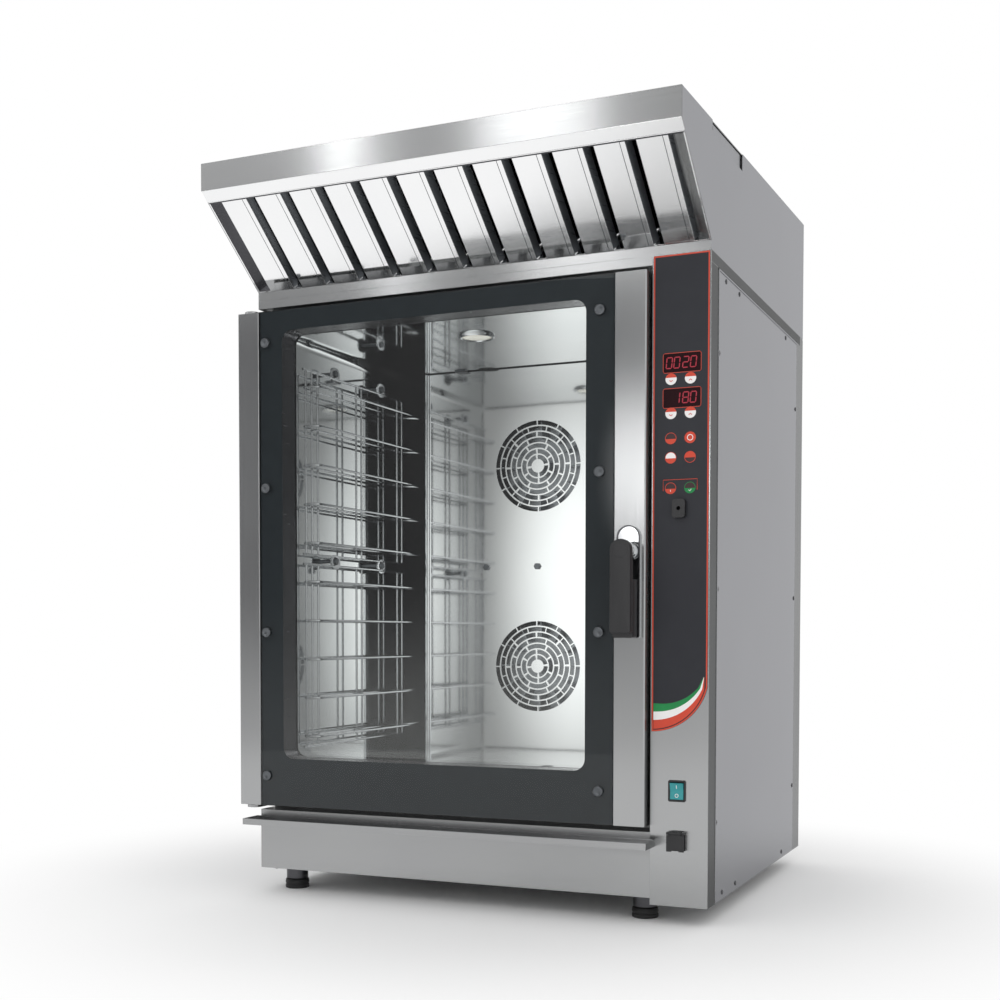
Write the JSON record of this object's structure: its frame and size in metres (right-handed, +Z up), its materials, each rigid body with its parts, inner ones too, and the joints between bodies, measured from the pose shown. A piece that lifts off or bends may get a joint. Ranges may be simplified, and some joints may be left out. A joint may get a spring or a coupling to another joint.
{
  "type": "combi oven with extractor hood",
  "caption": "Free-standing combi oven with a glazed side-hinged door, control column, tray racks, fan baffle and an extractor hood with sloping grease filter on top.",
  "frame": {"origin": "on the floor, in the middle of the outline seen from above", "axes": "+X to the right seen from the front, +Y to the back, +Z up"},
  "size_m": [0.8736, 0.929, 1.3432],
  "materials": {
    "brushed_stainless": "brushed",
    "polished_stainless": "polished",
    "tempered_glass": "clear",
    "overlay_film": "satin film",
    "display_plastic": "dark red",
    "black_plastic": "moulded",
    "teal_plastic": "moulded",
    "board_laminate": "lacquered",
    "silicone_rubber": "matt",
    "mineral_wool": "matt",
    "fan_steel": "plain",
    "motor_paint": "painted",
    "heater_steel": "oxidised",
    "inlet_brass": "plain"
  },
  "bodies": {
    "oven": {"base_pan": "brushed_stainless", "blower_housing": "brushed_stainless", "blower_motor": "motor_paint", "cable_gland": "black_plastic", "cavity_fixings": "polished_stainless", "cavity_lamp": "tempered_glass", "cavity_liner": "polished_stainless", "control_board": "board_laminate", "control_column": "brushed_stainless", "control_overlay": "overlay_film", "display_windows": "display_plastic", "door_gasket": "silicone_rubber", "drain_pipe": "brushed_stainless", "drip_gutter": "brushed_stainless", "fan_baffle": "polished_stainless", "fan_motors": "motor_paint", "front_skirt": "brushed_stainless", "grease_filter": "polished_stainless", "heating_rings": "heater_steel", "hinge_brackets": "brushed_stainless", "hood_fascia": "brushed_stainless", "hood_floor": "brushed_stainless", "hood_left_side": "brushed_stainless", "hood_right_side": "brushed_stainless", "hood_roof": "brushed_stainless", "insulation": "mineral_wool", "left_panel": "brushed_stainless", "left_racks": "polished_stainless", "lower_socket": "black_plastic", "mouth_frame": "brushed_stainless", "rear_panel": "brushed_stainless", "right_panel": "brushed_stainless", "right_racks": "polished_stainless", "rocker_bezel": "black_plastic", "side_screws": "brushed_stainless", "steam_injector": "brushed_stainless", "steam_outlet": "brushed_stainless", "switch_gear": "black_plastic", "top_cover": "brushed_stainless", "upper_socket": "black_plastic", "water_inlet": "inlet_brass"},
    "door": {"hinge_side_stile": "brushed_stainless", "handle_side_stile": "brushed_stainless", "door_pan": "brushed_stainless", "outer_glass": "tempered_glass", "glass_bolts": "polished_stainless", "window_spacer": "brushed_stainless", "inner_glass": "tempered_glass", "handle_plate": "polished_stainless"},
    "handle": {"handle_lever": "black_plastic", "latch_spindle": "brushed_stainless"},
    "rocker": {"mains_rocker": "teal_plastic"},
    "flap": {"socket_flap": "black_plastic"},
    "upper_fan_wheel": {"upper_fan": "fan_steel"},
    "lower_fan_wheel": {"lower_fan": "fan_steel"},
    "blower_rotor": {"blower_wheel": "fan_steel"},
    "foot_front_left": {"front_left_foot": "silicone_rubber"},
    "foot_front_right": {"front_right_foot": "silicone_rubber"},
    "foot_rear_left": {"rear_left_foot": "silicone_rubber"},
    "foot_rear_right": {"rear_right_foot": "silicone_rubber"}
  },
  "joints": [
    {"name": "door_hinge", "type": "hinge", "parent": "oven", "child": "door", "pos_m": [-0.4218, -0.2805, 0.6075], "axis": [0, 0, -1], "range_deg": [0, 120]},
    {"name": "handle_turn", "type": "hinge", "parent": "door", "child": "handle", "pos_m": [0.3082, -0.3055, 0.607], "axis": [0, 1, 0], "range_deg": [0, 90]},
    {"name": "rocker_tilt", "type": "hinge", "parent": "oven", "child": "rocker", "pos_m": [0.3843, -0.2855, 0.2195], "axis": [1, 0, 0], "range_deg": [-12, 0]},
    {"name": "flap_lift", "type": "hinge", "parent": "oven", "child": "flap", "pos_m": [0.3843, -0.2956, 0.1514], "axis": [-1, 0, 0], "range_deg": [0, 100]},
    {"name": "upper_fan_spin", "type": "hinge", "parent": "oven", "child": "upper_fan_wheel", "pos_m": [-0.0548, 0.26, 0.819], "axis": [0, 1, 0], "continuous": true},
    {"name": "lower_fan_spin", "type": "hinge", "parent": "oven", "child": "lower_fan_wheel", "pos_m": [-0.0548, 0.26, 0.407], "axis": [0, 1, 0], "continuous": true},
    {"name": "blower_spin", "type": "hinge", "parent": "oven", "child": "blower_rotor", "pos_m": [0.0152, 0.2145, 1.1635], "axis": [1, 0, 0], "continuous": true},
    {"name": "front_left_foot_turn", "type": "hinge", "parent": "oven", "child": "foot_front_left", "pos_m": [-0.3588, -0.2335, 0.02], "axis": [0, 0, 1], "continuous": true},
    {"name": "front_right_foot_turn", "type": "hinge", "parent": "oven", "child": "foot_front_right", "pos_m": [0.3162, -0.2335, 0.02], "axis": [0, 0, 1], "continuous": true},
    {"name": "rear_left_foot_turn", "type": "hinge", "parent": "oven", "child": "foot_rear_left", "pos_m": [-0.3588, 0.3745, 0.02], "axis": [0, 0, 1], "continuous": true},
    {"name": "rear_right_foot_turn", "type": "hinge", "parent": "oven", "child": "foot_rear_right", "pos_m": [0.3162, 0.3745, 0.02], "axis": [0, 0, 1], "continuous": true}
  ]
}
